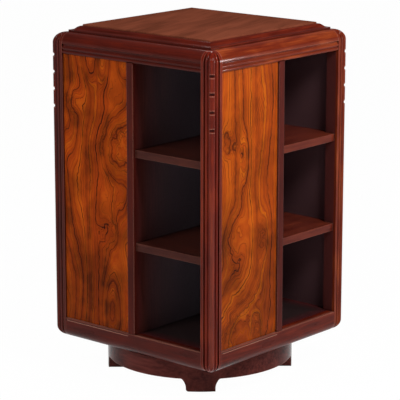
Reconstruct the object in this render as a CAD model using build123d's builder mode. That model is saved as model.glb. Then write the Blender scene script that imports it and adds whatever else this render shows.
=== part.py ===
from build123d import *
from math import cos, radians, sin, sqrt
import os

# Revolving bookcase. Millimetres, +Z up, origin on the floor at the turning axis.
# The case stands square to X and Y and turns on a round drum with four bracket feet.
# Each face has a veneered panel on its left half and open compartments on its right
# half. One face is modelled, at -Y, and quarter turns give the other three.

# Overall
case_width = 483.0
foot_height = 30.0
drum_height = 45.0
turning_gap = 2.0
bottom_rail_height = 49.0
compartment_height = 197.0
compartment_count = 3
shelf_thickness = 18.0
top_rail_height = 47.0
moulding_height = 13.0
top_edge_height = 3.4

# Corner posts and their reeding, measured from the outer corner
post_width = 33.0
edge_round = 24.5
bead_width = 13.0
quirk_width = 2.9
quirk_depth = 3.4
reed_width = 7.0
reed_recess = 0.3
groove_width = 3.8
reed_turns = (0.0, 14.0, 28.0, 42.0, 56.0, 69.0, 78.0, 84.0)
notch_count = 4
notch_pitch = 39.7
notch_drop = 52.0
notch_radius = 4.5
notch_depth = 3.2

# Rails and their joints to the posts
frieze_reed_count = 2
frieze_depth = 2.4
frieze_crown = 0.6
frieze_quirk = 0.8
cove_height = 5.7
cove_depth = 3.4
rail_bead_height = 5.5
rail_bead_depth = 2.2
rail_arris = 2.0
tenon_setback = 9.0
tenon_thickness = 8.0
tenon_web = 3.0
tenon_shoulder = 9.0
joint_clearance = 0.2

# Panels, centre stiles, shelves and boards
panel_recess = 5.0
panel_thickness = 12.0
panel_tongue = 5.0
centre_stile_width = 20.0
centre_stile_depth = 25.0
centre_stile_round = 2.0
shelf_setback = 8.0
shelf_housing = 4.0
shelf_arris = 1.5
bottom_board_thickness = 20.0
top_board_thickness = 18.0
rebate_wall = 3.0
turntable_board_gap = 17.0

# Top
moulding_setback = 28.0
moulding_fillet = 4.3
moulding_ledge = 2.5
moulding_width = 38.0
top_edge_setback = 51.1
top_panel_thickness = 12.0
top_arris = 0.8

# Base drum and its bracket feet
drum_setback = 22.5
drum_wall = 36.0
drum_ledge = 10.0
drum_arris = 1.5
base_turn = -3.9
foot_count = 4
foot_toe_width = 68.0
foot_root_width = 88.0
foot_toe_radius = 6.0
foot_toe_land = 1.0
foot_root_radius = 6.0
base_board_thickness = 22.0

# Ball turntable
race_radius = 90.0
race_bore = 35.0
race_thickness = 3.0
race_gap = 2.0
ball_count = 12
ball_radius = 2.5
ball_pitch_inset = 15.0
ball_clearance = 0.3
cage_width = 16.0
cage_thickness = 1.0

# Spindle that centres the case and holds it down
spindle_radius = 10.0
spindle_flange_radius = 30.0
spindle_flange_thickness = 4.0
spindle_thread_radius = 8.0
spindle_tip = 3.0
running_clearance = 0.05
bush_wall = 4.0
bush_flange_width = 7.0
bush_flange_thickness = 2.5
washer_radius = 20.0
washer_thickness = 3.0
washer_lift = 0.3
nut_across_flats = 24.0
nut_height = 13.0

# Countersunk wood screws
screw_radius = 2.0
screw_head_radius = 4.0
screw_head_height = 2.0
screw_length = 14.0
long_screw_length = 36.0
ring_screw_count = 4
base_board_screw_count = 6
race_screw_inset = 5.0
flange_screw_inset = 10.0
turntable_screw_inset = 25.0

overrun = 2.0
quarter_turn = 90.0
half_turn_share = 0.5
diagonal_share = sqrt(half_turn_share)

# Levels, from the floor up
drum_top = foot_height + drum_height
case_foot = drum_top + turning_gap
floor_level = case_foot + bottom_rail_height
shelf_step = compartment_height + shelf_thickness
ceiling_level = floor_level + compartment_count * shelf_step - shelf_thickness
frame_top = ceiling_level + top_rail_height
moulding_top = frame_top + moulding_height
shelf_levels = [floor_level + n * shelf_step - shelf_thickness for n in range(1, compartment_count)]
round_foot = case_foot + edge_round
round_top = frame_top - edge_round
base_board_top = case_foot - 2 * race_thickness - race_gap
base_board_foot = base_board_top - base_board_thickness

# Plan positions on the -Y face
face = case_width / 2
post_inner = face - post_width
stile_edge = centre_stile_width / 2
stile_back = face - centre_stile_depth
panel_front = face - panel_recess
panel_back = panel_front - panel_thickness
rebate_depth = tenon_setback + tenon_thickness + rebate_wall
board_edge = face - rebate_depth
half_board = post_inner - turntable_board_gap
drum_radius = face - drum_setback
tenon_length = post_width - tenon_setback - tenon_thickness - tenon_web

os.makedirs("parts", exist_ok=True)


def keep(part, name, turns=0):
    """Turn a finished piece by quarter turns about the axis, name it and write it."""
    piece = part.rotate(Axis.Z, turns * quarter_turn)
    piece.label = name
    export_step(piece, f"parts/{name}.step")


def keep_four(part, name):
    """Write a piece of the -Y face and its three copies, one for each face."""
    for turn in range(4):
        keep(part, f"{name}_{turn + 1}", turn)


def tenon_levels(rail_foot, rail_top):
    """Lower and upper level of the tenon on a rail that spans the given levels."""
    return rail_foot + tenon_shoulder, rail_top - tenon_shoulder


def section_plane(x):
    """Plane across a rail of the -Y face: depth behind the face, then height."""
    return Plane(origin=(x, -face, 0), x_dir=(0, 1, 0), z_dir=(1, 0, 0))


def block(x0, x1, y0, y1, z0, z1, mode=Mode.ADD):
    """Square-cornered block between two corners, in the current part."""
    with BuildSketch(Plane.XY.offset(z0)) as plan:
        with Locations(((x0 + x1) / 2, (y0 + y1) / 2)):
            Rectangle(x1 - x0, y1 - y0)
    extrude(plan.sketch, amount=z1 - z0, mode=mode)


# Corner post. The reeding is one profile in plan, seen from the outer corner as distance
# along a face and depth into it, and the same on both faces. It runs straight up the
# corner, and at both ends it turns over the rounded edges and draws together towards the
# point where they meet the flat, so that the corner bead stays the crest all the way.
bead_middle = bead_width / 2
bead_radius = bead_middle - reed_recess
bead_shoulder = bead_middle - bead_radius * diagonal_share
bead_end = bead_middle + sqrt(bead_radius**2 - (bead_middle - quirk_depth) ** 2)
reed_start = bead_end + quirk_width
reed_end = reed_start + reed_width
groove_end = reed_end + groove_width
bottom_tenon = tenon_levels(case_foot, floor_level - panel_tongue)
top_tenon = tenon_levels(ceiling_level, frame_top - tenon_shoulder / 2)


def reed_section(turn):
    """Closed plan outline of what the reeding takes off the corner at a turn over its top edge."""
    reach_share = cos(radians(turn))
    level = round_top + edge_round * sin(radians(turn))
    meeting = face - edge_round

    def at(along, depth):
        """Point on the left face of the corner, drawn in towards the meeting point."""
        return (edge_round - along) * reach_share, (edge_round - depth) * reach_share

    half = [
        at(groove_end, -overrun),
        at(groove_end, quirk_depth),
        at(reed_end, quirk_depth),
        at((reed_start + reed_end) / 2, reed_recess),
        at(reed_start, quirk_depth),
        at(bead_end, quirk_depth),
    ]
    other = [(y, x) for x, y in half]
    plane = Plane(origin=(meeting, -meeting, level), x_dir=(1, 0, 0), z_dir=(0, 0, -1))
    with BuildSketch(plane) as section:
        with BuildLine():
            for points in (half, other):
                Polyline(*points[:3])
                ThreePointArc(*points[2:5])
                Line(*points[4:])
            ThreePointArc(half[-1], at(bead_shoulder, bead_shoulder), other[-1])
            Polyline(half[0], at(-overrun, -overrun), other[0])
        make_face()
    return section.sketch


with BuildPart() as reed_end_cutter:
    loft([reed_section(turn) for turn in reed_turns])

with BuildPart() as reeding:
    extrude(reed_section(0), amount=round_top - round_foot)
    add(reed_end_cutter.part)
    mirror(reed_end_cutter.part, about=Plane.XY.offset((round_foot + round_top) / 2))

with BuildPart() as mortises:
    for low, high in (bottom_tenon, top_tenon):
        block(
            post_inner - overrun,
            post_inner + tenon_length + joint_clearance,
            -face + tenon_setback,
            -face + tenon_setback + tenon_thickness,
            low,
            high,
        )

corner_mitre = Plane(origin=(0, 0, 0), z_dir=(1, 1, 0))
corner_upright = Plane(origin=(0, 0, 0), x_dir=(1, -1, 0), z_dir=(-1, -1, 0))
bead_crown = (face - bead_middle) / diagonal_share + bead_radius

with BuildPart() as corner_post:
    with BuildSketch(section_plane(post_inner)):
        with BuildLine():
            RadiusArc((edge_round, case_foot), (0, round_foot), edge_round)
            Line((0, round_foot), (0, round_top))
            RadiusArc((0, round_top), (edge_round, frame_top), edge_round)
            Polyline(
                (edge_round, frame_top),
                (post_width, frame_top),
                (post_width, case_foot),
                (edge_round, case_foot),
            )
        make_face()
    extrude(amount=post_width)
    mirror(about=corner_mitre, mode=Mode.INTERSECT)
    add(reeding.part, mode=Mode.SUBTRACT)
    add(mortises.part, mode=Mode.SUBTRACT)
    mirror(mortises.part, about=corner_mitre, mode=Mode.SUBTRACT)
    with BuildSketch(corner_upright):
        for n in range(notch_count):
            with Locations(
                (bead_crown + notch_radius - notch_depth, frame_top - notch_drop - n * notch_pitch)
            ):
                Circle(notch_radius)
    extrude(amount=post_width, both=True, mode=Mode.SUBTRACT)
    # Groove for the panel of the next face
    block(
        panel_back,
        panel_front,
        -post_inner - panel_tongue - joint_clearance,
        -post_inner + overrun,
        floor_level - panel_tongue,
        ceiling_level + panel_tongue,
        Mode.SUBTRACT,
    )
keep_four(corner_post.part, "corner_post")


# Rails. Each is a moulded section run between two posts, with a tenon at each end and a
# groove for the panel along its left half.
def tenons(levels):
    """Tenon through the length of a rail, standing out at both ends."""
    low, high = levels
    with BuildSketch(section_plane(-post_inner - tenon_length)) as end:
        with Locations((tenon_setback + tenon_thickness / 2, (low + high) / 2)):
            Rectangle(tenon_thickness, high - low)
    extrude(end.sketch, amount=2 * (post_inner + tenon_length))


def panel_groove(low, high):
    """Groove for a panel edge along the left half of a rail."""
    block(
        -post_inner - overrun,
        -stile_edge + panel_tongue + joint_clearance,
        -panel_front,
        -panel_back,
        low,
        high,
        Mode.SUBTRACT,
    )


frieze_reed = (round_top - cove_height - ceiling_level) / frieze_reed_count - frieze_quirk
cove_foot = round_top - cove_height

with BuildPart() as top_rail:
    with BuildSketch(section_plane(-post_inner)):
        with BuildLine():
            for n in range(frieze_reed_count):
                reed_foot = ceiling_level + n * (frieze_reed + frieze_quirk)
                reed_head = reed_foot + frieze_reed
                ThreePointArc(
                    (frieze_depth, reed_foot),
                    (frieze_crown, (reed_foot + reed_head) / 2),
                    (frieze_depth, reed_head),
                )
                Line((frieze_depth, reed_head), (frieze_depth, reed_head + frieze_quirk))
            ThreePointArc(
                (frieze_depth, cove_foot),
                (cove_depth, (cove_foot + round_top) / 2),
                (0, round_top),
            )
            RadiusArc((0, round_top), (edge_round, frame_top), edge_round)
            Polyline(
                (edge_round, frame_top),
                (post_width, frame_top),
                (post_width, ceiling_level + top_board_thickness),
                (rebate_depth, ceiling_level + top_board_thickness),
                (rebate_depth, ceiling_level),
                (frieze_depth, ceiling_level),
            )
        make_face()
    extrude(amount=2 * post_inner)
    tenons(top_tenon)
    panel_groove(ceiling_level - overrun, ceiling_level + panel_tongue)
keep_four(top_rail.part, "top_rail")

with BuildPart() as bottom_rail:
    with BuildSketch(section_plane(-post_inner)):
        with BuildLine():
            RadiusArc((edge_round, case_foot), (0, round_foot), edge_round)
            Polyline(
                (0, round_foot),
                (0, floor_level),
                (rebate_depth, floor_level),
                (rebate_depth, floor_level - bottom_board_thickness),
                (post_width, floor_level - bottom_board_thickness),
                (post_width, case_foot),
                (edge_round, case_foot),
            )
        make_face()
    extrude(amount=2 * post_inner)
    tenons(bottom_tenon)
    panel_groove(floor_level - panel_tongue, floor_level + overrun)
    # Small bead along the panel, cut back from the rail's upper edge
    bead_foot = floor_level - rail_bead_height
    with BuildSketch(section_plane(-post_inner)):
        with BuildLine():
            ThreePointArc(
                (rail_bead_depth, floor_level),
                (0, (bead_foot + floor_level) / 2),
                (rail_bead_depth, bead_foot),
            )
            Polyline(
                (rail_bead_depth, bead_foot),
                (-overrun, bead_foot),
                (-overrun, floor_level + overrun),
                (rail_bead_depth, floor_level + overrun),
                (rail_bead_depth, floor_level),
            )
        make_face()
    extrude(amount=post_inner - stile_edge, mode=Mode.SUBTRACT)
    # Rounded edge along the compartments
    fillet(
        bottom_rail.edges().filter_by(Axis.X).group_by(Axis.Z)[-1].sort_by(Axis.Y)[0],
        rail_arris,
    )
keep_four(bottom_rail.part, "bottom_rail")

# Centre stile, between the panel and the compartments
with BuildPart() as centre_stile:
    block(-stile_edge, stile_edge, -face, -stile_back, floor_level, ceiling_level)
    fillet(
        centre_stile.edges().filter_by(Axis.Z).group_by(Axis.Y)[0],
        centre_stile_round,
    )
    block(
        -stile_edge - overrun,
        -stile_edge + panel_tongue + joint_clearance,
        -panel_front,
        -panel_back,
        floor_level,
        ceiling_level,
        Mode.SUBTRACT,
    )
keep_four(centre_stile.part, "centre_stile")

# Panel, tongued into the frame all round and housed behind for the shelves
with BuildPart() as burl_panel:
    block(
        -post_inner - panel_tongue,
        -stile_edge + panel_tongue,
        -panel_front,
        -panel_back,
        floor_level - panel_tongue,
        ceiling_level + panel_tongue,
    )
    for level in shelf_levels:
        block(
            -post_inner,
            -stile_edge,
            -panel_back - shelf_housing,
            -panel_back + overrun,
            level,
            level + shelf_thickness,
            Mode.SUBTRACT,
        )
keep_four(burl_panel.part, "burl_panel")

# Shelves, let into the partition on two sides and into a panel on the third
shelf_inner = stile_edge - shelf_housing
shelf_outer = panel_back + shelf_housing

for level, name in zip(shelf_levels, ("shelf_lower", "shelf_upper")):
    with BuildPart() as shelf:
        with BuildSketch(Plane.XY.offset(level)):
            with BuildLine():
                Polyline(
                    (stile_edge, -face + shelf_setback),
                    (post_inner, -face + shelf_setback),
                    (post_inner, -post_inner),
                    (shelf_outer, -post_inner),
                    (shelf_outer, -stile_edge),
                    (stile_back, -stile_edge),
                    (stile_back, -shelf_inner),
                    (shelf_inner, -shelf_inner),
                    (shelf_inner, -stile_back),
                    (stile_edge, -stile_back),
                    close=True,
                )
            make_face()
        extrude(amount=shelf_thickness)
        fillet(shelf.faces().sort_by(Axis.Y)[0].edges().filter_by(Axis.X), shelf_arris)
    keep_four(shelf.part, name)


# Cross partition: one long board and two half boards, housed for the shelves
def housings(x0, x1):
    """Shelf housings on both sides of a partition that lies along X."""
    for level in shelf_levels:
        for inner, outer in ((shelf_inner, stile_edge + overrun), (-stile_edge - overrun, -shelf_inner)):
            block(x0, x1, inner, outer, level, level + shelf_thickness, Mode.SUBTRACT)


with BuildPart() as partition_half:
    block(stile_edge, stile_back, -stile_edge, stile_edge, floor_level, ceiling_level)
    housings(stile_edge - overrun, stile_back + overrun)
keep(partition_half.part, "partition_half_1")
keep(partition_half.part, "partition_half_2", 2)

with BuildPart() as partition_long:
    block(-stile_back, stile_back, -stile_edge, stile_edge, floor_level, ceiling_level)
    housings(shelf_inner, stile_back + overrun)
    housings(-stile_back - overrun, -shelf_inner)
keep(partition_long.part, "partition_long", 1)


# Boards that close the case below and above, notched round the posts
post_notch = board_edge - post_inner


def notched_board(foot, thickness):
    """Square board that lies in the rails' rebates and clears the four posts."""
    with BuildPart() as board:
        with BuildSketch(Plane.XY.offset(foot)):
            Rectangle(2 * board_edge, 2 * board_edge)
            with GridLocations(2 * board_edge, 2 * board_edge, 2, 2):
                Rectangle(2 * post_notch, 2 * post_notch, mode=Mode.SUBTRACT)
        extrude(amount=thickness)
    return board.part


# Screws point along +Z with their heads at the bottom, and stand in rings or at corners
def screw_places(radius, count, start=0):
    """Points spaced evenly round the axis."""
    step = 4 * quarter_turn / count
    angles = [radians(start + n * step) for n in range(count)]
    return [(radius * cos(angle), radius * sin(angle)) for angle in angles]


def screw_section(grow, length):
    """Half outline of a countersunk screw, grown a little for its hole."""
    with BuildSketch(Plane.XZ) as section:
        with BuildLine():
            Polyline(
                (0, 0),
                (screw_head_radius + grow, 0),
                (screw_radius + grow, screw_head_height),
                (screw_radius + grow, length + grow),
                (0, length + grow),
                close=True,
            )
        make_face()
    return section.sketch


with BuildPart() as screw:
    revolve(screw_section(0, screw_length), Axis.Z)
with BuildPart() as screw_hole:
    revolve(screw_section(running_clearance, screw_length), Axis.Z)
with BuildPart() as long_screw:
    revolve(screw_section(0, long_screw_length), Axis.Z)
with BuildPart() as long_screw_hole:
    revolve(screw_section(running_clearance, long_screw_length), Axis.Z)


def place_screws(part, places, level, down=False, mode=Mode.ADD):
    """Set copies of a screw, or of its hole, at points of a level."""
    turned = part.rotate(Axis.X, 2 * quarter_turn) if down else part
    with Locations(*[(x, y, level) for x, y in places]):
        add(turned, mode=mode)


upper_race_places = screw_places(race_radius - race_screw_inset, ring_screw_count, quarter_turn / 2)
lower_race_places = screw_places(race_radius - race_screw_inset, ring_screw_count)
flange_places = screw_places(spindle_flange_radius - flange_screw_inset, ring_screw_count)
turntable_corner = (half_board - turntable_screw_inset) / diagonal_share
turntable_places = screw_places(turntable_corner, ring_screw_count, quarter_turn / 2)
ledge_radius = drum_radius - drum_wall + drum_ledge / 2
base_board_places = screw_places(ledge_radius, base_board_screw_count)

with BuildPart() as bottom_board:
    add(notched_board(floor_level - bottom_board_thickness, bottom_board_thickness))
    place_screws(long_screw_hole.part, turntable_places, case_foot, mode=Mode.SUBTRACT)
keep(bottom_board.part, "bottom_board")

with BuildPart() as top_board:
    add(notched_board(ceiling_level, top_board_thickness))
keep(top_board.part, "top_board")

with BuildPart() as turntable_board:
    block(
        -half_board,
        half_board,
        -half_board,
        half_board,
        case_foot,
        floor_level - bottom_board_thickness,
    )
    place_screws(long_screw_hole.part, turntable_places, case_foot, mode=Mode.SUBTRACT)
    upper_race_foot = case_foot - race_thickness
    place_screws(screw_hole.part, upper_race_places, upper_race_foot, mode=Mode.SUBTRACT)
    flange_foot = case_foot - spindle_flange_thickness
    place_screws(screw_hole.part, flange_places, flange_foot, mode=Mode.SUBTRACT)
keep(turntable_board.part, "turntable_board")

# Top: four mitred lengths of ogee moulding and a veneered panel whose edge lies on them
moulding_face = face - moulding_setback
moulding_back = moulding_face - moulding_width
top_edge = face - top_edge_setback
ogee_foot = (moulding_face - moulding_ledge, frame_top + moulding_fillet)
ogee_head = (top_edge + top_arris, moulding_top)
ogee_middle = ((ogee_foot[0] + ogee_head[0]) / 2, (ogee_foot[1] + ogee_head[1]) / 2)

with BuildPart() as top_moulding:
    with BuildSketch(Plane(origin=(-moulding_face, 0, 0), x_dir=(0, -1, 0), z_dir=(-1, 0, 0))):
        with BuildLine():
            TangentArc(ogee_foot, ogee_middle, tangent=(-1, 0))
            TangentArc(ogee_head, ogee_middle, tangent=(1, 0))
            Polyline(
                ogee_head,
                (moulding_back, moulding_top),
                (moulding_back, frame_top),
                (moulding_face, frame_top),
                (moulding_face, frame_top + moulding_fillet),
                ogee_foot,
            )
        make_face()
    extrude(amount=-2 * moulding_face)
    for side in (1, -1):
        split(bisect_by=Plane(origin=(0, 0, 0), z_dir=(side, 1, 0)), keep=Keep.BOTTOM)
keep_four(top_moulding.part, "top_moulding")

with BuildPart() as top_panel:
    panel_foot = moulding_top + top_edge_height - top_panel_thickness
    block(-moulding_back, moulding_back, -moulding_back, moulding_back, panel_foot, moulding_top)
    block(-top_edge, top_edge, -top_edge, top_edge, moulding_top, moulding_top + top_edge_height)
    fillet(top_panel.faces().sort_by(Axis.Z)[-1].edges(), top_arris)
keep(top_panel.part, "top_panel")

# Base drum: a turned wall with a ledge inside, and bracket feet with curved sides below
# it. A foot is drawn flat on the plane that faces it and trimmed to the wall's curve.
foot_azimuths = [base_turn + quarter_turn / 2 + n * 4 * quarter_turn / foot_count for n in range(foot_count)]
drum_bore = drum_radius - drum_wall
root_overlap = drum_arris + overrun
root_reach = foot_root_width / 2 + 2 * foot_root_radius
side_foot = foot_toe_radius + foot_toe_land


def foot_plane(azimuth):
    """Upright plane on the axis that faces outwards at an azimuth."""
    out = (cos(radians(azimuth)), sin(radians(azimuth)), 0)
    return Plane(origin=(0, 0, 0), x_dir=(-out[1], out[0], 0), z_dir=out)


with BuildPart() as base_drum:
    for azimuth in foot_azimuths:
        with BuildSketch(foot_plane(azimuth)) as foot:
            with BuildLine():
                for side in (1, -1):
                    TangentArc(
                        (side * foot_toe_width / 2, side_foot),
                        (side * foot_root_width / 2, foot_height),
                        tangent=(0, 1),
                    )
                    Polyline(
                        (side * foot_root_width / 2, foot_height),
                        (side * root_reach, foot_height),
                        (side * root_reach, foot_height + root_overlap),
                        (0, foot_height + root_overlap),
                    )
                    Polyline((side * foot_toe_width / 2, side_foot), (side * foot_toe_width / 2, 0), (0, 0))
            make_face()
            fillet(foot.vertices().group_by(Axis.Y)[0].sort_by(Axis.X)[::2], foot_toe_radius)
            fillet(foot.vertices().group_by(Axis.Y)[-2].sort_by(Axis.X)[1:3], foot_root_radius)
        extrude(amount=drum_radius + overrun)
    with BuildSketch():
        Circle(drum_radius)
        Circle(drum_bore, mode=Mode.SUBTRACT)
    extrude(amount=foot_height + root_overlap, mode=Mode.INTERSECT)
    with BuildSketch(Plane.XZ):
        with BuildLine():
            Polyline(
                (drum_bore, foot_height),
                (drum_radius, foot_height),
                (drum_radius, drum_top),
                (drum_bore + drum_ledge, drum_top),
                (drum_bore + drum_ledge, base_board_foot),
                (drum_bore, base_board_foot),
                close=True,
            )
        make_face()
    revolve()
    fillet(
        base_drum.edges().filter_by(GeomType.CIRCLE).group_by(Axis.Z)[-1].sort_by(SortBy.RADIUS)[-1],
        drum_arris,
    )
    place_screws(long_screw_hole.part, base_board_places, base_board_top, True, Mode.SUBTRACT)
keep(base_drum.part, "base_drum")

bush_radius = spindle_radius + running_clearance + bush_wall

with BuildPart() as base_board:
    with BuildSketch(Plane.XY.offset(base_board_foot)):
        Circle(drum_bore + drum_ledge - joint_clearance)
        Circle(bush_radius + running_clearance, mode=Mode.SUBTRACT)
    extrude(amount=base_board_thickness)
    place_screws(long_screw_hole.part, base_board_places, base_board_top, True, Mode.SUBTRACT)
    lower_race_top = base_board_top + race_thickness
    place_screws(screw_hole.part, lower_race_places, lower_race_top, True, Mode.SUBTRACT)
keep(base_board.part, "base_board")

# Ball turntable: two grooved plates and a caged ring of balls between them
ball_level = base_board_top + race_thickness + race_gap / 2
ball_pitch_radius = race_radius - ball_pitch_inset
groove_radius = ball_radius + ball_clearance
ball_places = screw_places(ball_pitch_radius, ball_count)


def race_plate(foot):
    """Plate with a ball groove on the side that faces the other plate."""
    with BuildPart() as plate:
        with BuildSketch(Plane.XY.offset(foot)):
            Circle(race_radius)
            Circle(race_bore, mode=Mode.SUBTRACT)
        extrude(amount=race_thickness)
        with BuildSketch(Plane.XZ):
            with Locations((ball_pitch_radius, ball_level)):
                Circle(groove_radius)
        revolve(mode=Mode.SUBTRACT)
    return plate.part


with BuildPart() as lower_race:
    add(race_plate(base_board_top))
    place_screws(screw_hole.part, lower_race_places, lower_race_top, True, Mode.SUBTRACT)
keep(lower_race.part, "lower_race")

with BuildPart() as upper_race:
    add(race_plate(upper_race_foot))
    place_screws(screw_hole.part, upper_race_places, upper_race_foot, mode=Mode.SUBTRACT)
keep(upper_race.part, "upper_race")

with BuildPart() as ball_cage:
    with BuildSketch(Plane.XY.offset(ball_level - cage_thickness / 2)):
        Circle(ball_pitch_radius + cage_width / 2)
        Circle(race_bore, mode=Mode.SUBTRACT)
        with Locations(*ball_places):
            Circle(groove_radius, mode=Mode.SUBTRACT)
    extrude(amount=cage_thickness)
keep(ball_cage.part, "ball_cage")

with BuildPart() as bearing_balls:
    with Locations(*[(x, y, ball_level) for x, y in ball_places]):
        Sphere(ball_radius)
keep(bearing_balls.part, "bearing_balls")

# Spindle, fixed under the case, running in a bush in the base and held by a nut below
shoulder_level = base_board_foot - washer_lift
washer_foot = shoulder_level - washer_thickness
nut_foot = washer_foot - nut_height

with BuildPart() as spindle:
    with BuildSketch(Plane.XZ):
        with BuildLine():
            Polyline(
                (0, case_foot),
                (spindle_flange_radius, case_foot),
                (spindle_flange_radius, flange_foot),
                (spindle_radius, flange_foot),
                (spindle_radius, shoulder_level),
                (spindle_thread_radius, shoulder_level),
                (spindle_thread_radius, nut_foot - spindle_tip),
                (0, nut_foot - spindle_tip),
                close=True,
            )
        make_face()
    revolve()
    place_screws(screw_hole.part, flange_places, flange_foot, mode=Mode.SUBTRACT)
keep(spindle.part, "spindle")

with BuildPart() as spindle_bush:
    with BuildSketch(Plane.XZ):
        with BuildLine():
            Polyline(
                (spindle_radius + running_clearance, base_board_foot),
                (bush_radius, base_board_foot),
                (bush_radius, base_board_top),
                (bush_radius + bush_flange_width, base_board_top),
                (bush_radius + bush_flange_width, base_board_top + bush_flange_thickness),
                (spindle_radius + running_clearance, base_board_top + bush_flange_thickness),
                close=True,
            )
        make_face()
    revolve()
keep(spindle_bush.part, "spindle_bush")

with BuildPart() as retaining_washer:
    with BuildSketch(Plane.XY.offset(washer_foot)):
        Circle(washer_radius)
        Circle(spindle_thread_radius + running_clearance, mode=Mode.SUBTRACT)
    extrude(amount=washer_thickness)
keep(retaining_washer.part, "retaining_washer")

with BuildPart() as retaining_nut:
    with BuildSketch(Plane.XY.offset(nut_foot)):
        RegularPolygon(nut_across_flats / 2, 6, major_radius=False)
        Circle(spindle_thread_radius + running_clearance, mode=Mode.SUBTRACT)
    extrude(amount=nut_height)
keep(retaining_nut.part, "retaining_nut")

# Screw groups
with BuildPart() as turntable_screws:
    place_screws(long_screw.part, turntable_places, case_foot)
keep(turntable_screws.part, "turntable_screws")

with BuildPart() as upper_race_screws:
    place_screws(screw.part, upper_race_places, upper_race_foot)
keep(upper_race_screws.part, "upper_race_screws")

with BuildPart() as spindle_screws:
    place_screws(screw.part, flange_places, flange_foot)
keep(spindle_screws.part, "spindle_screws")

with BuildPart() as lower_race_screws:
    place_screws(screw.part, lower_race_places, lower_race_top, True)
keep(lower_race_screws.part, "lower_race_screws")

with BuildPart() as base_board_screws:
    place_screws(long_screw.part, base_board_places, base_board_top, True)
keep(base_board_screws.part, "base_board_screws")
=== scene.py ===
"""Looks for a square revolving bookcase: red mahogany frame, figured veneer panels, dark inside.

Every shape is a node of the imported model. Each operator gives one group of nodes its finish, and the
stage operator adds floor, lamps, surroundings and camera. Lengths are metres, pattern sizes millimetres.
"""

import math

import bpy
import numpy as np
from mathutils import Matrix, Vector


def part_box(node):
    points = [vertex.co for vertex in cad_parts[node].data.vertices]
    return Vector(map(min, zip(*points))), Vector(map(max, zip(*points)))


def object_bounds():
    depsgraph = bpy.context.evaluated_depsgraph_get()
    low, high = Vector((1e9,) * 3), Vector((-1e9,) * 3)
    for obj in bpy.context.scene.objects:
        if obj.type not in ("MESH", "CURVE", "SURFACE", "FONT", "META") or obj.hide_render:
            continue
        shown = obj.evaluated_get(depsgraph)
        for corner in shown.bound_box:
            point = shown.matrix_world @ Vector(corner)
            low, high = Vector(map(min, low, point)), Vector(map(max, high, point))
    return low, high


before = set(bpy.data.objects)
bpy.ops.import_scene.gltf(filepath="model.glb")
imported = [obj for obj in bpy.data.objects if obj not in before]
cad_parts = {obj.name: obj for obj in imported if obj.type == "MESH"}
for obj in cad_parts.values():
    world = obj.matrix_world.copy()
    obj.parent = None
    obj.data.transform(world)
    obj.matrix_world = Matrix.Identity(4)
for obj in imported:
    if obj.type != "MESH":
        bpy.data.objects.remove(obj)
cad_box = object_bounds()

bl_info = {
    "name": "Revolving bookcase",
    "version": (1, 0, 0),
    "blender": (4, 5, 0),
    "location": "3D View > Sidebar > Bookcase",
    "description": "Finishes, stage and camera for a revolving bookcase",
    "category": "Object",
}

FACES = (1, 2, 3, 4)
MM_PER_M = 1000.0
HALF_WIDTH = cad_box[1].x
X, Y, Z = 0, 1, 2  # places in a vector

# A range with four numbers gives a value's start and end, and the result at each of them

# Polished mahogany
MAHOGANY_STOPS = (0.32, 0.5, 0.68)  # figure at which the three tones lie
FIGURE_MIX = 0.5  # share of the clouds, beside the streaks
CLOUD_STRETCH, PORE_STRETCH = 3, 14  # length of a cloud and of a pore in widths
PORE_LIGHT = (0.3, 0.45, 0.8, 1.0)  # light left in a pore
PORE_DEPTH = 0.03  # mm
ROUGH_SPREAD = 1.7  # roughest over smoothest polish
NOISE_SPREAD = (0.3, 0.7)  # part of a noise's range that matters
OCCLUSION_SAMPLES = 8
HOLLOW_REACH, EDGE_REACH = 5.0, 2.4  # mm
PAINTED_HOLLOW_SHADE = (0.3, 0.9, 0.25, 1.0)  # light left by painted shade in hollows, corners and between parts, by their openness
EDGE_SHARP = (0.9, 0.5)  # openness of an edge from inside: where the painted highlight starts and where it is full
DEPTH_TONE_MARGIN = 0.5  # mm of the inner colour above and below the compartments
# Depths in mm behind the case's faces at which the inner colour starts and is full: a greyer inner tone on
# posts and stiles, a pale grey painted for the dim light deep inside on the partitions, painted shade on the
# boards
POST_TONE_DEPTHS, STILE_TONE_DEPTHS, PARTITION_TONE_DEPTHS, BOARD_TONE_DEPTHS = (4, 9), (3, 22), (30, 210), (8, 55)
BUTT_END = 4.0  # mm at a piece's ends left without the painted edge highlight

# Bottom rails, in mm
FRONT_FADE = (8.0, 5.0)  # depth behind the case's faces where the front starts and where it is full
ARRIS_FADE = (0.5, 3.0)  # distance from the edge where the painted highlight starts to fade and where it ends
# Strongest painted highlight on a bottom rail's upper front arris
ARRIS_HIGHLIGHT = 0.17

# Corner beads: notches as in the model, lengths in mm
NOTCHES = 4
NOTCH_PITCH = 39.7
NOTCH_DROP = 52.0  # from the post's top to the first notch
NOTCH_SHADE = (1.6, 3.2, 0.75, 0.0)  # light taken by painted shade, by the height from a notch's middle
LIP_PLACE, LIP_HALF = 4.4, 1.7  # height of a notch's lip from its middle, and half the lip's width
# Strongest painted highlight on a notch's lips
LIP_HIGHLIGHT = 0.3
BEAD_HALF, BEAD_DEPTH = 8.0, 18.0  # largest difference of |x| and |y|, and how far their sum falls short
CREST_FADE = (8.0, 5.4)  # shortfall of |x| + |y| where the crest starts and where it is full
CREST_SHEEN = (0.56, 0.4, 0.01, 0.065)  # painted sheen on the crest, by the height in metres
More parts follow.
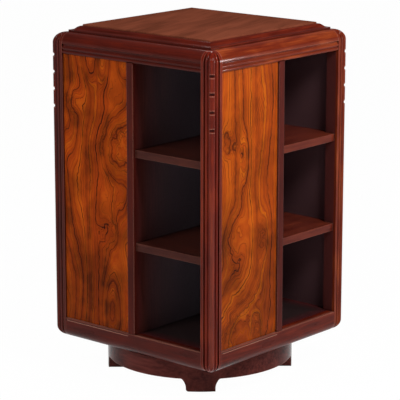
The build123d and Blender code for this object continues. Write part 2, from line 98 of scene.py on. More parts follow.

# Figured veneer
SWEEP_SWING, CURL_SWING = 4.0, 2.0  # in reaches: the sweeps' from end to end, the curls' to each side
RING_DRIFT, RING_UNEVEN = 0.4, 2.0  # pace and amount of the change from wide rings to narrow ones
LEAST_CROWDING = 0.004  # rings per mm, so that a line on a flat place stays finite
VEIN_CORE = 0.45  # share of a vein's half width that is full
VEIN_STRENGTH = (0.0, 1.0, 0.4, 1.0)  # by a ring's own random number
VEIN_PATCHES = (0.38, 0.54, 0.4, 1.0)  # share of that strength, by patches
HAIR_PATCHES = (0.4, 0.6, 0.14, 0.75)  # strength of hairlines, by patches
HAIR_FADE = (0.2, 1.0)  # mm from a hairline's middle where it starts to fade and where it ends
BAND_MIX = 0.3  # share of whole rings in the tone, beside the soft bands
VENEER_STOPS = (0.25, 0.5, 0.75)
VENEER_CLOUD = 0.6  # size of the clouds in sweeps
CLOUD_SPREAD = (0.32, 0.68)
CLOUD_LIGHTEST, CLOUD_DARKEST = 1.16, 0.57  # light, the darkest in the panel's lower half
CALM_LEVELS = (-60.0, 60.0)  # mm from the panel's middle over which clouds change to the upper half's
FOOT_LIGHT = (-300.0, -60.0, 0.78, 1.0)  # light by the level in mm
VENEER_PORE = (0.9, 12.0)  # width and length in mm, wider than real so that pores show
VENEER_PORE_LIGHT = (0.3, 0.45, 0.82, 1.0)
VENEER_ROUGH = (*NOISE_SPREAD, 0.36, 0.26)
VENEER_GLOSS, VENEER_BUMP = 0.03, 0.02  # the bump in mm

# Top's veneer
TOP_TURN = math.radians(-14)  # of the grain, about z
TOP_STREAK_MIX = 0.4  # share of the streaks, beside the clouds
TOP_STOPS = (0.36, 0.6)
TOP_ROUGH = (*NOISE_SPREAD, 0.5, 0.42)

# Hidden boards and metal
SOFTWOOD_RING = (9.0, 160.0)  # width and length in mm
SOFTWOOD_STOPS = (0.35, 0.65)
SOFTWOOD_ROUGH = (*NOISE_SPREAD, 0.7, 0.6)
TURNING_MARK = 1.5  # mm, coarser than real so that marks show
METAL_ROUGH = (*NOISE_SPREAD, 0.38, 0.24)

# Stage
TARGET = Vector((0.0, 0.0, 0.408))  # what lamps and camera point at
FAR_CLIP = 200.0
FLOOR_HALF, FLOOR_LINES = 30.0, 9  # half the side, and grid lines each way
FLOOR_GLOW = 0.985  # share of even light in the floor as it is seen
HORIZON = ((0.11, (1.0, 1.0, 1.0, 1.0)), (0.24, (0.16, 0.16, 0.16, 1.0)))  # rise of the view, and colour


def linear(code):
    """Linear RGBA of an sRGB hex colour."""
    srgb = np.array([int(code[i : i + 2], 16) for i in (1, 3, 5)]) / 255
    rgb = np.where(srgb <= 0.04045, srgb / 12.92, ((srgb + 0.055) / 1.055) ** 2.4)
    return (*rgb.tolist(), 1.0)


# Darkest and palest streaks, round a main colour that is a setting
SHELF_STREAKS = (linear("#481710"), linear("#6c2c1c"))
DRUM_STREAKS = (linear("#321312"), linear("#66302a"))
# Darkest, main and palest tone
PARTITION_TONES = (linear("#421e1a"), linear("#4e2622"), linear("#582c26"))
BOARD_TONES = (linear("#3e1416"), linear("#4c191b"), linear("#581e1f"))
# Shelves on faces 1 and 3: a darker copy, painted shade for the shaded side
SHADED_SHELF_TONES = (linear("#361410"), linear("#452019"), linear("#54261b"))
# Dark and pale tone
SOFTWOOD_TONES = (linear("#7d5636"), linear("#a87f54"))
STEEL_TONES = (linear("#8c8c90"), linear("#c4c4c6"))
BRONZE_TONES = (linear("#8a6030"), linear("#c09050"))

# Each panel's place in the log, share of the sweeps, light in its upper half's darkest cloud, share of green
LEAVES = (
    (9.4, 0.8, 0.58, 0.88),
    (12.9, 0.35, 0.84, 1.0),
    (11.1, 0.5, 0.6, 0.94),
    (14.8, 0.45, 0.66, 0.97),
)
# Each panel's knots: place across and up from the panel's middle, half width, half height, lift, curl, in mm
KNOTS = (
    (
        (-20, 318, 40, 110, 80, 3),
        (25, 322, 28, 110, -70, 2),
        (84, 300, 24, 46, 40, 2),
        (85, 120, 130, 115, 90, 10),
        (-70, 205, 60, 50, 30, 7),
        (40, -85, 50, 60, -36, 12),
        (48, -285, 58, 190, 100, 2),
    ),
    (
        (-82, 150, 40, 60, 24, 12),
        (-10, 110, 26, 110, -26, 2),
        (-78, 173, 12, 13, 18, 2),
        (-50, 144, 11, 12, 18, 2),
        (-74, 139, 10, 11, 16, 2),
        (-25, 122, 11, 22, 20, 2),
        (-55, -60, 75, 95, 44, 4),
        (60, -80, 40, 100, -28, 5),
        (-130, -330, 260, 320, 125, 5),
        (30, -300, 40, 80, -40, 6),
    ),
    (
        (0, 120, 60, 130, 60, 6),
        (-40, -150, 50, 110, -56, 8),
        (40, -230, 50, 100, 50, 4),
    ),
    (
        (20, 60, 60, 110, 58, 8),
        (-36, 220, 44, 120, 50, 4),
        (-10, -210, 70, 110, -54, 8),
    ),
)


def colour(name, code, description):
    """Colour property whose default is a hex code."""
    return bpy.props.FloatVectorProperty(
        name=name, description=description, subtype="COLOR", size=4, min=0, max=1, default=linear(code)
    )


def number(name, default, description, **options):
    """Number property."""
    return bpy.props.FloatProperty(name=name, default=default, description=description, **options)


def millimetres(name, default, description):
    """Pattern size property in millimetres."""
    return number(name, default, description, min=0.01)


class MahoganySettings(bpy.types.PropertyGroup):
    """Colours and figure of the polished mahogany."""

    shade: colour("Shade", "#3a0f08", "Darkest streaks of the frame's mahogany")
    body: colour("Body", "#56170b", "Main colour of the frame's mahogany")
    # Stile is also the main colour of the darker copy on faces 1 and 3 and on corner posts 3 and 4, painted
    # shade for the shaded side
    stile: colour("Stile", "#4a150e", "Main colour of the centre stiles")
    light: colour("Light", "#722612", "Palest streaks of the frame's mahogany")
    # Warm and warm light: a paler copy for corner post 2 and the top rails on faces 2 and 4, painted light
    # for the lit side
    warm: colour("Warm", "#6a2410", "Main colour of the paler rails")
    warm_light: colour("Warm light", "#8e3e1a", "Palest streaks of the paler rails")
    post_shade: colour("Post shade", "#440f07", "Darkest streaks of the corner posts")
    post: colour("Post", "#64180b", "Main colour of the corner posts")
    post_light: colour("Post light", "#802a12", "Palest streaks of the corner posts")
    # Colour of the painted highlight on sharp edges and on the beads' crests and notch lips
    edge_highlight: colour("Rubbed", "#c48c78", "Edges where the polish is rubbed thin")
    shelf: colour("Shelf", "#5c2318", "Main colour of the shelves")
    inside: colour("Inside", "#543a3d", "Backs of the panels, stained dark")
    # Partition and board colours take over by depth inside the compartments: a pale grey painted for the dim
    # light on the partitions, painted shade on the boards
    partition: colour("Partition", "#736971", "Partitions, deep inside the compartments")
    board: colour("Board", "#2c2020", "Top and bottom boards, deep inside the compartments")
    inner: colour("Inner sides", "#4e2422", "Inner sides of the posts and stiles")
    base: colour("Base", "#532520", "Main colour of the drum and its feet")
    streak: millimetres("Streak width", 5.0, "Width of the ribbon streaks across the grain, in millimetres")
    streak_length: millimetres("Streak length", 90.0, "Length of the ribbon streaks, in millimetres")
    mottle: millimetres("Mottle", 34.0, "Size of the paler and darker clouds, in millimetres")
    pore: millimetres("Pore width", 0.9, "Width of the pore lines, in millimetres")


class VeneerSettings(bpy.types.PropertyGroup):
    """Colours and figure of the panels' veneer and of the top."""

    vein: colour("Vein", "#1e0904", "Dark lines in the panels' veneer")
    brown: colour("Brown", "#85330a", "Darker bands of the panels' veneer")
    ground: colour("Ground", "#a0420c", "Main colour of the panels' veneer")
    gold: colour("Gold", "#b65810", "Palest bands of the panels' veneer")
    top: colour("Top", "#763e2c", "Main colour of the top's veneer")
    top_shade: colour("Top shade", "#5a2e20", "Dark figure in the top's veneer")
    top_cloud: millimetres("Top cloud", 48.0, "Width of the top's dark clouds, in millimetres")
    top_streak: millimetres("Top streak", 3.5, "Width of the top's fine streaks, in millimetres")
    band: millimetres("Band", 6.0, "Mean width of the soft growth bands, in millimetres")
    vein_spacing: millimetres("Vein spacing", 22.0, "Mean distance between dark veins, in millimetres")
    vein_width: millimetres("Vein width", 1.7, "Half width of a dark vein with its soft edge, in millimetres")
    hairlines: number("Hairlines", 4.0, "Fine lines to each ring", min=1)
    patch: millimetres("Patch", 45.0, "Size of the patches in which veins fade in and out, in millimetres")
    sweep: millimetres("Sweep", 110.0, "Width of the sweeps that bend the veins, in millimetres")
    sweep_length: millimetres("Sweep length", 260.0, "Length of the sweeps along the panel, in millimetres")
    sweep_reach: millimetres("Sweep reach", 50.0, "How far the sweeps push the veins, in millimetres")
    curl: millimetres("Curl", 24.0, "Size of the small curls in the veins, in millimetres")
    curl_reach: millimetres("Curl reach", 2.6, "How far curls push the veins away from knots, in millimetres")


class StageSettings(bpy.types.PropertyGroup):
    """Floor, lamps and camera."""

    floor: colour("Floor", "#f4f4f4", "Colour of the pale floor")
    key_power: number("Key lamp", 28.0, "Power of the main lamp", min=0, unit="POWER")
    fill_power: number("Fill lamp", 19.0, "Power of the lamp on the left", min=0, unit="POWER")
    rim_power: number("Rim lamp", 2.2, "Power of the small lamp on the right", min=0, unit="POWER")
    back_power: number("Back lamp", 7.0, "Power of the lamp behind", min=0, unit="POWER")
    azimuth: number("Azimuth", math.radians(40.6), "Camera's turn from the -Y face", subtype="ANGLE")
    elevation: number("Elevation", math.radians(13.05), "Camera's height angle", subtype="ANGLE")
    roll: number("Roll", math.radians(0.04), "Camera's tilt about its own axis", subtype="ANGLE")
    distance: number("Distance", 4.61, "From the camera to the middle", min=0.1, unit="LENGTH")
    lens: number("Lens", 177.0, "Focal length", min=1, unit="CAMERA")
    shift: number("Shift", -0.0098, "Camera's vertical shift in picture widths")


def on_faces(name, faces=FACES):
    """A node's names on some of the faces."""
    return [f"{name}_{face}" for face in faces]


def add(tree, kind, inputs=(), stops=(), **settings):
    """Add a node with its properties, inputs and ramp stops.

    Inputs go by name, or in the node's own order. One that is given a socket is linked.
    """
    node = tree.nodes.new("ShaderNode" + kind)
    for key, value in settings.items():
        setattr(node, key, value)
    for key, value in inputs.items() if isinstance(inputs, dict) else enumerate(inputs):
        if isinstance(value, bpy.types.NodeSocket):
            tree.links.new(value, node.inputs[key])
        else:
            node.inputs[key].default_value = value
    if stops:
        elements = node.color_ramp.elements
        for position, _ in stops[1:-1]:
            elements.new(position)
        for element, (position, shade) in zip(elements, stops):
            element.position, element.color = position, shade
    return node


def start(name):
    """New material with an empty tree; returns both."""
    material = bpy.data.materials.new(name)
    material.use_nodes = True
    material.node_tree.nodes.clear()
    return material, material.node_tree


def finish(tree, base, roughness, bump_height, bump_mm, gloss):
    """Close a tree with a Principled shader: colour, roughness, a bump of so many mm and a gloss level."""
    bump = add(tree, "Bump", {"Height": bump_height, "Distance": bump_mm / MM_PER_M, "Strength": 1.0})
    shader = add(
        tree,
        "BsdfPrincipled",
        {"Base Color": base, "Roughness": roughness, "Specular IOR Level": gloss, "Normal": bump.outputs[0]},
    )
    add(tree, "OutputMaterial", {"Surface": shader.outputs[0]})


def dress(nodes, material):
    """Put a material in every slot of the named nodes."""
    for name in nodes:
        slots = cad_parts[name].material_slots
        if not slots:
            raise RuntimeError(f"{name} has no material slot")
        for slot in slots:
            slot.link = "OBJECT"
            slot.material = material


def grain_space(tree, axis, streak, length):
    """Object coordinates in streaks: one unit is a streak's width across the grain, its length along it."""
    scale = [MM_PER_M / streak] * 3
    scale[axis] = MM_PER_M / length
    place = add(tree, "TexCoord").outputs["Object"]
    return add(tree, "Mapping", {"Vector": place, "Scale": scale}).outputs[0]


def folded(tree):
    """The case's four corners folded onto one: |x|, |y| and |z| as a vector socket and as three sockets."""
    place = add(tree, "TexCoord").outputs["Object"]
    size = add(tree, "VectorMath", (place,), operation="ABSOLUTE").outputs[0]
    return size, tuple(add(tree, "SeparateXYZ", (size,)).outputs)


def inner_sides(tree, polished_mm, toned_mm):
    """Share of an inner colour on a piece, by its depth in mm behind the case's outer faces.

    The depth is half the case's width less the larger of |x| and |y|. There is none of the inner colour down
    to the first depth and all of it from the second one on, and it is kept to the height of the compartments,
    so that the pieces' rounded ends keep their polished colour.
    """
    _, (x, y, z) = folded(tree)
    reach = add(tree, "Math", (x, y), operation="MAXIMUM").outputs[0]
    fully_toned, polished = (HALF_WIDTH - depth / MM_PER_M for depth in (toned_mm, polished_mm))
    deep = add(tree, "MapRange", (reach, fully_toned, polished, 1.0, 0.0)).outputs[0]
    low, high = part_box("partition_long")
    half_height = (high.z - low.z) / 2 + DEPTH_TONE_MARGIN / MM_PER_M
    level = add(tree, "Math", (z, (low.z + high.z) / 2, half_height), operation="COMPARE").outputs[0]
    return add(tree, "Math", (deep, level), operation="MULTIPLY").outputs[0]


def front_arris(tree, level):
    """Two shares on a bottom rail: its front, a few mm deep, and a painted highlight on its upper front edge
    at a level.
    """
    _, (x, y, z) = folded(tree)
    reach = add(tree, "Math", (x, y), operation="MAXIMUM").outputs[0]
    fade = (HALF_WIDTH - depth / MM_PER_M for depth in FRONT_FADE)
    front = add(tree, "MapRange", (reach, *fade)).outputs[0]
    off = add(tree, "Math", (z, level), operation="SUBTRACT").outputs[0]
    off = add(tree, "Math", (off,), operation="ABSOLUTE").outputs[0]
    fade = (distance / MM_PER_M for distance in ARRIS_FADE)
    line = add(tree, "MapRange", (off, *fade, ARRIS_HIGHLIGHT, 0.0)).outputs[0]
    return front, line


def corner_bead(tree):
    """Two shares on the corner beads: light left by painted shade in the notches, and painted highlight on
    the notch lips and painted sheen on the crest.

    The sum of |x| and |y| tells how near a place is to the case's corner, and on the bead they differ
    little. Shade is painted in the middle of a notch, and a highlight on its upper and lower lips. Notches
    repeat at one pitch, so the height from the nearest one is a ping-pong of z. The crest's painted
    sheen is stronger lower down.
    """
    size, (_, _, z) = folded(tree)
    sum_xy = add(tree, "VectorMath", (size, (1, 1, 0)), operation="DOT_PRODUCT").outputs["Value"]
    skew = add(tree, "VectorMath", (size, (1, -1, 0)), operation="DOT_PRODUCT").outputs["Value"]
    fade = (2 * HALF_WIDTH - shortfall / MM_PER_M for shortfall in CREST_FADE)
    on_crest = add(tree, "MapRange", (sum_xy, *fade)).outputs[0]
    highlit = add(tree, "MapRange", (z, *CREST_SHEEN)).outputs[0]
    crest = add(tree, "Math", (on_crest, highlit), operation="MULTIPLY").outputs[0]
    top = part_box("corner_post_1")[1].z * MM_PER_M
    below = add(tree, "Math", (z, -MM_PER_M, top - NOTCH_DROP), operation="MULTIPLY_ADD").outputs[0]
    from_notch = add(tree, "Math", (below, NOTCH_PITCH / 2), operation="PINGPONG").outputs[0]
    # The run of notches reaches a quarter of the pitch past the first and the last one
    run_middle, run_half = NOTCH_PITCH * (NOTCHES - 1) / 2, NOTCH_PITCH * (NOTCHES - 0.5) / 2
    outer = 2 * HALF_WIDTH - BEAD_DEPTH / MM_PER_M
    here = add(tree, "Math", (sum_xy, outer), operation="GREATER_THAN").outputs[0]
    for value, middle, half in ((skew, 0.0, BEAD_HALF / MM_PER_M), (below, run_middle, run_half)):
        within = add(tree, "Math", (value, middle, half), operation="COMPARE").outputs[0]
        here = add(tree, "Math", (here, within), operation="MULTIPLY").outputs[0]
    shade = add(tree, "MapRange", (from_notch, *NOTCH_SHADE)).outputs[0]
    shade = add(tree, "Math", (shade, here), operation="MULTIPLY").outputs[0]
    light = add(tree, "Math", (1.0, shade), operation="SUBTRACT").outputs[0]
    off_lip = add(tree, "Math", (from_notch, LIP_PLACE), operation="SUBTRACT").outputs[0]
    off_lip = add(tree, "Math", (off_lip,), operation="ABSOLUTE").outputs[0]
    lip = add(tree, "MapRange", (off_lip, 0.0, LIP_HALF, LIP_HIGHLIGHT, 0.0)).outputs[0]
    lip = add(tree, "Math", (lip, here), operation="MULTIPLY").outputs[0]
    return light, add(tree, "Math", (crest, lip), operation="MAXIMUM").outputs[0]


def painted_edge_highlights(tree, axis, highlight_share, highlit, arris):
    """Share of painted highlight on a piece's sharp edges, up to a given share.

    The highlit span gives the lowest and the highest place of the highlight along the axis. Arris is the
    level of a bottom rail's upper front edge, which gets the painted highlight all along, while the rail's
    back gets none.
    """
    edge = add(
        tree,
        "AmbientOcclusion",
        {"Distance": EDGE_REACH / MM_PER_M},
        samples=OCCLUSION_SAMPLES,
        inside=True,
        only_local=True,
    ).outputs["AO"]
    edge_highlight = add(tree, "MapRange", (edge, *EDGE_SHARP, 0.0, highlight_share)).outputs[0]
    if highlit:
        along = add(tree, "SeparateXYZ", (add(tree, "TexCoord").outputs["Object"],)).outputs[axis]
        for limit, operation in zip(highlit, ("GREATER_THAN", "LESS_THAN")):
            within = add(tree, "Math", (along, limit), operation=operation).outputs[0]
            edge_highlight = add(tree, "Math", (edge_highlight, within), operation="MULTIPLY").outputs[0]
    if arris is not None:
        front, line = front_arris(tree, arris)
        edge_highlight = add(tree, "Math", (edge_highlight, line), operation="MAXIMUM").outputs[0]
        edge_highlight = add(tree, "Math", (edge_highlight, front), operation="MULTIPLY").outputs[0]
    return edge_highlight


def polished_mahogany(
    name, axis, tones, gloss=0.09, highlight_share=0.3, rough=0.1, depth_tone=None, bead=False, highlit=(), arris=None
):
    """Straight-grained red mahogany under French polish, sawn along one axis.

    Ribbon streaks along the grain and larger soft clouds shift the red from dark to pale, and fine dark
    pores lie along it. Pores are under 0.2 mm wide and are drawn wider, so that they show. Grooves,
    corners and joints get painted shade, and sharp edges get a painted highlight in a paler colour.

    Tones are the darkest, the main and the palest colour. The depth tone is an inner colour with its two
    depths in mm, and bead is for the notched corner posts. The highlit span and arris are as for the painted
    edge highlights.
    """
    s = bpy.context.scene.bookcase_mahogany
    material, tree = start(name)
    streaks, clouds, pores = (
        add(
            tree,
            "TexNoise",
            {"Vector": grain_space(tree, axis, width, length), "Scale": 1.0, "Detail": detail},
        ).outputs["Fac"]
        for width, length, detail in (
            (s.streak, s.streak_length, 3.0),
            (s.mottle, CLOUD_STRETCH * s.mottle, 2.0),
            (s.pore, PORE_STRETCH * s.pore, 1.0),
        )
    )
    figure = add(tree, "Mix", {"Factor": FIGURE_MIX, "A": streaks, "B": clouds}, data_type="FLOAT").outputs[0]
    wood = add(tree, "ValToRGB", (figure,), list(zip(MAHOGANY_STOPS, tones))).outputs[0]
    # Painted highlight on sharp edges, in the paler colour
    edge_highlight = painted_edge_highlights(tree, axis, highlight_share, highlit, arris)
    # Painted shade in grooves, corners and between parts, by how open they are
    hollow = add(
        tree, "AmbientOcclusion", {"Distance": HOLLOW_REACH / MM_PER_M}, samples=OCCLUSION_SAMPLES
    ).outputs["AO"]
    light = add(tree, "MapRange", (hollow, *PAINTED_HOLLOW_SHADE)).outputs[0]
    if bead:
        # Painted shade in the notches, painted highlight on their lips and painted sheen on the crest
        in_notch, bead_highlight = corner_bead(tree)
        edge_highlight = add(tree, "Math", (edge_highlight, bead_highlight), operation="MAXIMUM").outputs[0]
        light = add(tree, "Math", (light, in_notch), operation="MULTIPLY").outputs[0]
    layers = [(edge_highlight, s.edge_highlight)]
    if depth_tone:
        inside, *depths = depth_tone
        layers.append((inner_sides(tree, *depths), inside))
    for share, tone in layers:
        wood = add(tree, "Mix", {"Factor": share, "A": wood, "B": tone}, data_type="RGBA").outputs["Result"]
    in_pore = add(tree, "MapRange", (pores, *PORE_LIGHT)).outputs[0]
    light = add(tree, "Math", (light, in_pore), operation="MULTIPLY").outputs[0]
    base = add(
        tree, "Mix", {"Factor": 1.0, "A": wood, "B": light}, data_type="RGBA", blend_type="MULTIPLY"
    ).outputs["Result"]
    dull = add(tree, "MapRange", (clouds, *NOISE_SPREAD, rough, ROUGH_SPREAD * rough)).outputs[0]
    finish(tree, base, dull, pores, PORE_DEPTH, gloss)
    return material


def growth_rings(tree, place, sway, knots):
    """Number of growth rings of the log up to a place on a panel, as two sockets: rings and height in mm.

    The height is the distance across the panel, pushed about by large sweeps, by small curls and by
    knots; sway is the share of the sweeps that this part of the log has. A knot adds a smooth hill of its
    own width and height, so that rings close round it, and it makes the curls stronger. Noise of the
    height alone makes some rings wide and some narrow.
    """
    s = bpy.context.scene.bookcase_veneer
    stretch = (1, 1, s.sweep / s.sweep_length)
    stretched = add(tree, "VectorMath", (place, stretch), operation="MULTIPLY").outputs[0]
    sweeps = add(tree, "TexNoise", {"Vector": stretched, "Scale": 1 / s.sweep, "Detail": 1.0}).outputs["Fac"]
    curls = add(tree, "TexNoise", {"Vector": place, "Scale": 1 / s.curl, "Detail": 3.0}).outputs["Fac"]
    across = add(tree, "SeparateXYZ", (place,)).outputs[X]
    swing = SWEEP_SWING * sway * s.sweep_reach
    height = add(tree, "Math", (sweeps, swing, across), operation="MULTIPLY_ADD").outputs[0]
    curl_reach = s.curl_reach
    for x, z, half_width, half_height, lift, curl in knots:
        scale, shift = (1 / half_width, 0, 1 / half_height), (-x / half_width, 0, -z / half_height)
        near = add(tree, "VectorMath", (place, scale, shift), operation="MULTIPLY_ADD").outputs[0]
        reach = add(tree, "VectorMath", (near,), operation="LENGTH").outputs["Value"]
        hill = add(tree, "MapRange", (reach, 1.0, 0.0), interpolation_type="SMOOTHERSTEP").outputs[0]
        height = add(tree, "Math", (hill, lift, height), operation="MULTIPLY_ADD").outputs[0]
        curl_reach = add(tree, "Math", (hill, curl, curl_reach), operation="MULTIPLY_ADD").outputs[0]
    bend = add(tree, "MapRange", (curls, 0.0, 1.0, -CURL_SWING, CURL_SWING), clamp=False).outputs[0]
    height = add(tree, "Math", (bend, curl_reach, height), operation="MULTIPLY_ADD").outputs[0]
    drift = {"W": height, "Scale": RING_DRIFT / s.vein_spacing, "Detail": 0.0}
    uneven = add(tree, "TexNoise", drift, noise_dimensions="1D").outputs["Fac"]
    even = add(tree, "Math", (height, 1 / s.vein_spacing), operation="MULTIPLY").outputs[0]
    rings = add(tree, "Math", (uneven, RING_UNEVEN, even), operation="MULTIPLY_ADD").outputs[0]
    return rings, height


def veneer_lines(tree, place, rings, sway, knots):
    """Share of dark line at a place on a panel: veins at the rings' ends, and hairlines between them.

    A line's distance in mm is the part of a ring to the nearest line over the rings per mm, taken from
    two places close by, so lines keep their width where rings crowd and where they spread.
    """
    s = bpy.context.scene.bookcase_veneer
    slopes = []
    for step in ((1, 0, 0), (0, 0, 1)):
        beside = add(tree, "VectorMath", (place, step), operation="ADD").outputs[0]
        other, _ = growth_rings(tree, beside, sway, knots)
        slopes.append(add(tree, "Math", (other, rings), operation="SUBTRACT").outputs[0])
    slope = add(tree, "CombineXYZ", slopes).outputs[0]
    crowding = add(tree, "VectorMath", (slope,), operation="LENGTH").outputs["Value"]
    crowding = add(tree, "Math", (crowding, LEAST_CROWDING), operation="MAXIMUM").outputs[0]
    distances = []
    for count in (1.0, s.hairlines):
        lines = add(tree, "Math", (rings, count), operation="MULTIPLY").outputs[0]
        to_line = add(tree, "Math", (lines, 0.5), operation="PINGPONG").outputs[0]
        per_mm = add(tree, "Math", (crowding, count), operation="MULTIPLY").outputs[0]
        distances.append(add(tree, "Math", (to_line, per_mm), operation="DIVIDE").outputs[0])
    # Rings differ in strength, and lines fade in and out along their way
    number_of_ring = add(tree, "Math", (rings,), operation="ROUND").outputs[0]
    pick = add(tree, "TexWhiteNoise", {"W": number_of_ring}, noise_dimensions="1D").outputs["Value"]
    patches = add(tree, "TexNoise", {"Vector": place, "Scale": 1 / s.patch, "Detail": 2.0}).outputs["Fac"]
    patchy = add(tree, "MapRange", (patches, *VEIN_PATCHES)).outputs[0]
    strength = add(tree, "MapRange", (pick, *VEIN_STRENGTH)).outputs[0]
    strength = add(tree, "Math", (strength, patchy), operation="MULTIPLY").outputs[0]
    vein = add(
        tree,
        "MapRange",
        (distances[0], VEIN_CORE * s.vein_width, s.vein_width, strength, 0.0),
        interpolation_type="SMOOTHSTEP",
    ).outputs[0]
    hair_strength = add(tree, "MapRange", (patches, *HAIR_PATCHES)).outputs[0]
    hair = add(tree, "MapRange", (distances[1], *HAIR_FADE, hair_strength, 0.0)).outputs[0]
    return add(tree, "Math", (vein, hair), operation="MAXIMUM").outputs[0]


def figured_veneer(name, turn, seed, sway, calm, green, knots):
    """Sliced rosewood veneer, polished: thin dark veins wander over an orange ground with soft bands.

    The ground has broad clouds, a darker foot and fine pores, drawn wider than real so that they show.
    Seed is the panel's place in the log, calm the darkest cloud's share of light in the upper half, and
    green the share of green that redder wood leaves. The panel's back is plain dark mahogany.
    """
    s = bpy.context.scene.bookcase_veneer
    material, tree = start(name)
    coord = add(tree, "TexCoord")
    low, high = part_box("burl_panel_1")
    angle = turn * math.pi / 2
    local = add(
        tree,
        "Mapping",
        {
            "Vector": coord.outputs["Object"],
            "Scale": (MM_PER_M,) * 3,
            "Rotation": (0, 0, -angle),
            "Location": -(low + high) / 2 * MM_PER_M,
        },
    ).outputs[0]
    in_log = (0, seed * s.sweep, 0)
    place = add(tree, "VectorMath", (local, (1, 0, 1), in_log), operation="MULTIPLY_ADD").outputs[0]
    rings, height = growth_rings(tree, place, sway, knots)
    line = veneer_lines(tree, place, rings, sway, knots)
    bands = add(
        tree, "TexNoise", {"W": height, "Scale": 1 / s.band, "Detail": 2.0}, noise_dimensions="1D"
    ).outputs["Fac"]
    whole = add(tree, "Math", (rings, 1.0), operation="PINGPONG").outputs[0]
    tone = add(tree, "Mix", {"Factor": BAND_MIX, "A": bands, "B": whole}, data_type="FLOAT").outputs[0]
    tones = [(red, green * middle, blue, 1.0) for red, middle, blue, _ in (s.brown, s.ground, s.gold)]
    ramp = add(tree, "ValToRGB", (tone,), list(zip(VENEER_STOPS, tones))).outputs[0]
    cloud = {"Vector": place, "Scale": 1 / (VENEER_CLOUD * s.sweep), "Detail": 2.0}
    clouds = add(tree, "TexNoise", cloud).outputs["Fac"]
    level = add(tree, "SeparateXYZ", (place,)).outputs[Z]
    darkest = add(tree, "MapRange", (level, *CALM_LEVELS, CLOUD_DARKEST, calm)).outputs[0]
    light = add(tree, "MapRange", (clouds, *CLOUD_SPREAD, darkest, CLOUD_LIGHTEST)).outputs[0]
    fine = {"Vector": grain_space(tree, Z, *VENEER_PORE), "Scale": 1.0, "Detail": 1.0}
    pores = add(tree, "TexNoise", fine).outputs["Fac"]
    for value, light_range in ((pores, VENEER_PORE_LIGHT), (level, FOOT_LIGHT)):
        share = add(tree, "MapRange", (value, *light_range)).outputs[0]
        light = add(tree, "Math", (light, share), operation="MULTIPLY").outputs[0]
    ground = add(
        tree, "Mix", {"Factor": 1.0, "A": ramp, "B": light}, data_type="RGBA", blend_type="MULTIPLY"
    ).outputs["Result"]
    front = add(tree, "Mix", {"Factor": line, "A": ground, "B": s.vein}, data_type="RGBA").outputs["Result"]
    # Only the outer side is veneered
    outward = (math.sin(angle), -math.cos(angle), 0)
    facing = add(
        tree, "VectorMath", (coord.outputs["Normal"], outward), operation="DOT_PRODUCT"
    ).outputs["Value"]
    is_front = add(tree, "Math", (facing, 0.5), operation="GREATER_THAN").outputs[0]
    inside = bpy.context.scene.bookcase_mahogany.inside
    base = add(tree, "Mix", {"Factor": is_front, "A": inside, "B": front}, data_type="RGBA").outputs["Result"]
    rough = add(tree, "MapRange", (bands, *VENEER_ROUGH)).outputs[0]
    finish(tree, base, rough, pores, VENEER_BUMP, VENEER_GLOSS)
    return material


def top_veneer(name):
    """Brown figured veneer of the top, rubbed to a dull shine: soft dark clouds drawn out along the grain."""
    s = bpy.context.scene.bookcase_veneer
    material, tree = start(name)
    place = add(tree, "TexCoord").outputs["Object"]
    grain = {"Vector": place, "Scale": (MM_PER_M,) * 3, "Rotation": (0, 0, TOP_TURN)}
    turned = add(tree, "Mapping", grain).outputs[0]
    tones = []
    # Clouds that wander, and straight fine streaks: width, length in widths, and wander
    for width, lengths, wander in ((s.top_cloud, 5, 0.8), (s.top_streak, 30, 0.0)):
        scale = (1 / width, 1 / (lengths * width), 0)
        drawn = add(tree, "VectorMath", (turned, scale), operation="MULTIPLY").outputs[0]
        noise = add(tree, "TexNoise", {"Vector": drawn, "Scale": 1.0, "Detail": 3.0, "Distortion": wander})
        tones.append(noise.outputs["Fac"])
    parts = {"Factor": TOP_STREAK_MIX, "A": tones[0], "B": tones[1]}
    tone = add(tree, "Mix", parts, data_type="FLOAT").outputs[0]
    ramp = add(tree, "ValToRGB", (tone,), list(zip(TOP_STOPS, (s.top_shade, s.top)))).outputs[0]
    rough = add(tree, "MapRange", (tone, *TOP_ROUGH)).outputs[0]
    finish(tree, ramp, rough, tones[1], bump_mm=0.02, gloss=0.0)
    return material


def sanded_board(name):
    """Plain sanded softwood of the hidden boards: pale, dull, with broad soft growth rings."""
    material, tree = start(name)
    grain = grain_space(tree, X, *SOFTWOOD_RING)
    rings = add(tree, "TexNoise", {"Vector": grain, "Scale": 1.0, "Detail": 3.0}).outputs["Fac"]
    ramp = add(tree, "ValToRGB", (rings,), list(zip(SOFTWOOD_STOPS, SOFTWOOD_TONES))).outputs[0]
    rough = add(tree, "MapRange", (rings, *SOFTWOOD_ROUGH)).outputs[0]
    finish(tree, ramp, rough, rings, bump_mm=0.05, gloss=0.3)
    return material


def turned_metal(name, tones):
    """Machined steel or bronze: a metal with fine turning marks that break up its shine."""
    material, tree = start(name)
    place = add(tree, "TexCoord").outputs["Object"]
    fine = {"Vector": place, "Scale": MM_PER_M / TURNING_MARK, "Detail": 2.0}
    marks = add(tree, "TexNoise", fine).outputs["Fac"]
    ramp = add(tree, "ValToRGB", (marks,), list(zip(NOISE_SPREAD, tones))).outputs[0]
    rough = add(tree, "MapRange", (marks, *METAL_ROUGH)).outputs[0]
    shader = add(tree, "BsdfPrincipled", {"Base Color": ramp, "Roughness": rough, "Metallic": 1.0})
    add(tree, "OutputMaterial", {"Surface": shader.outputs[0]})
    return material


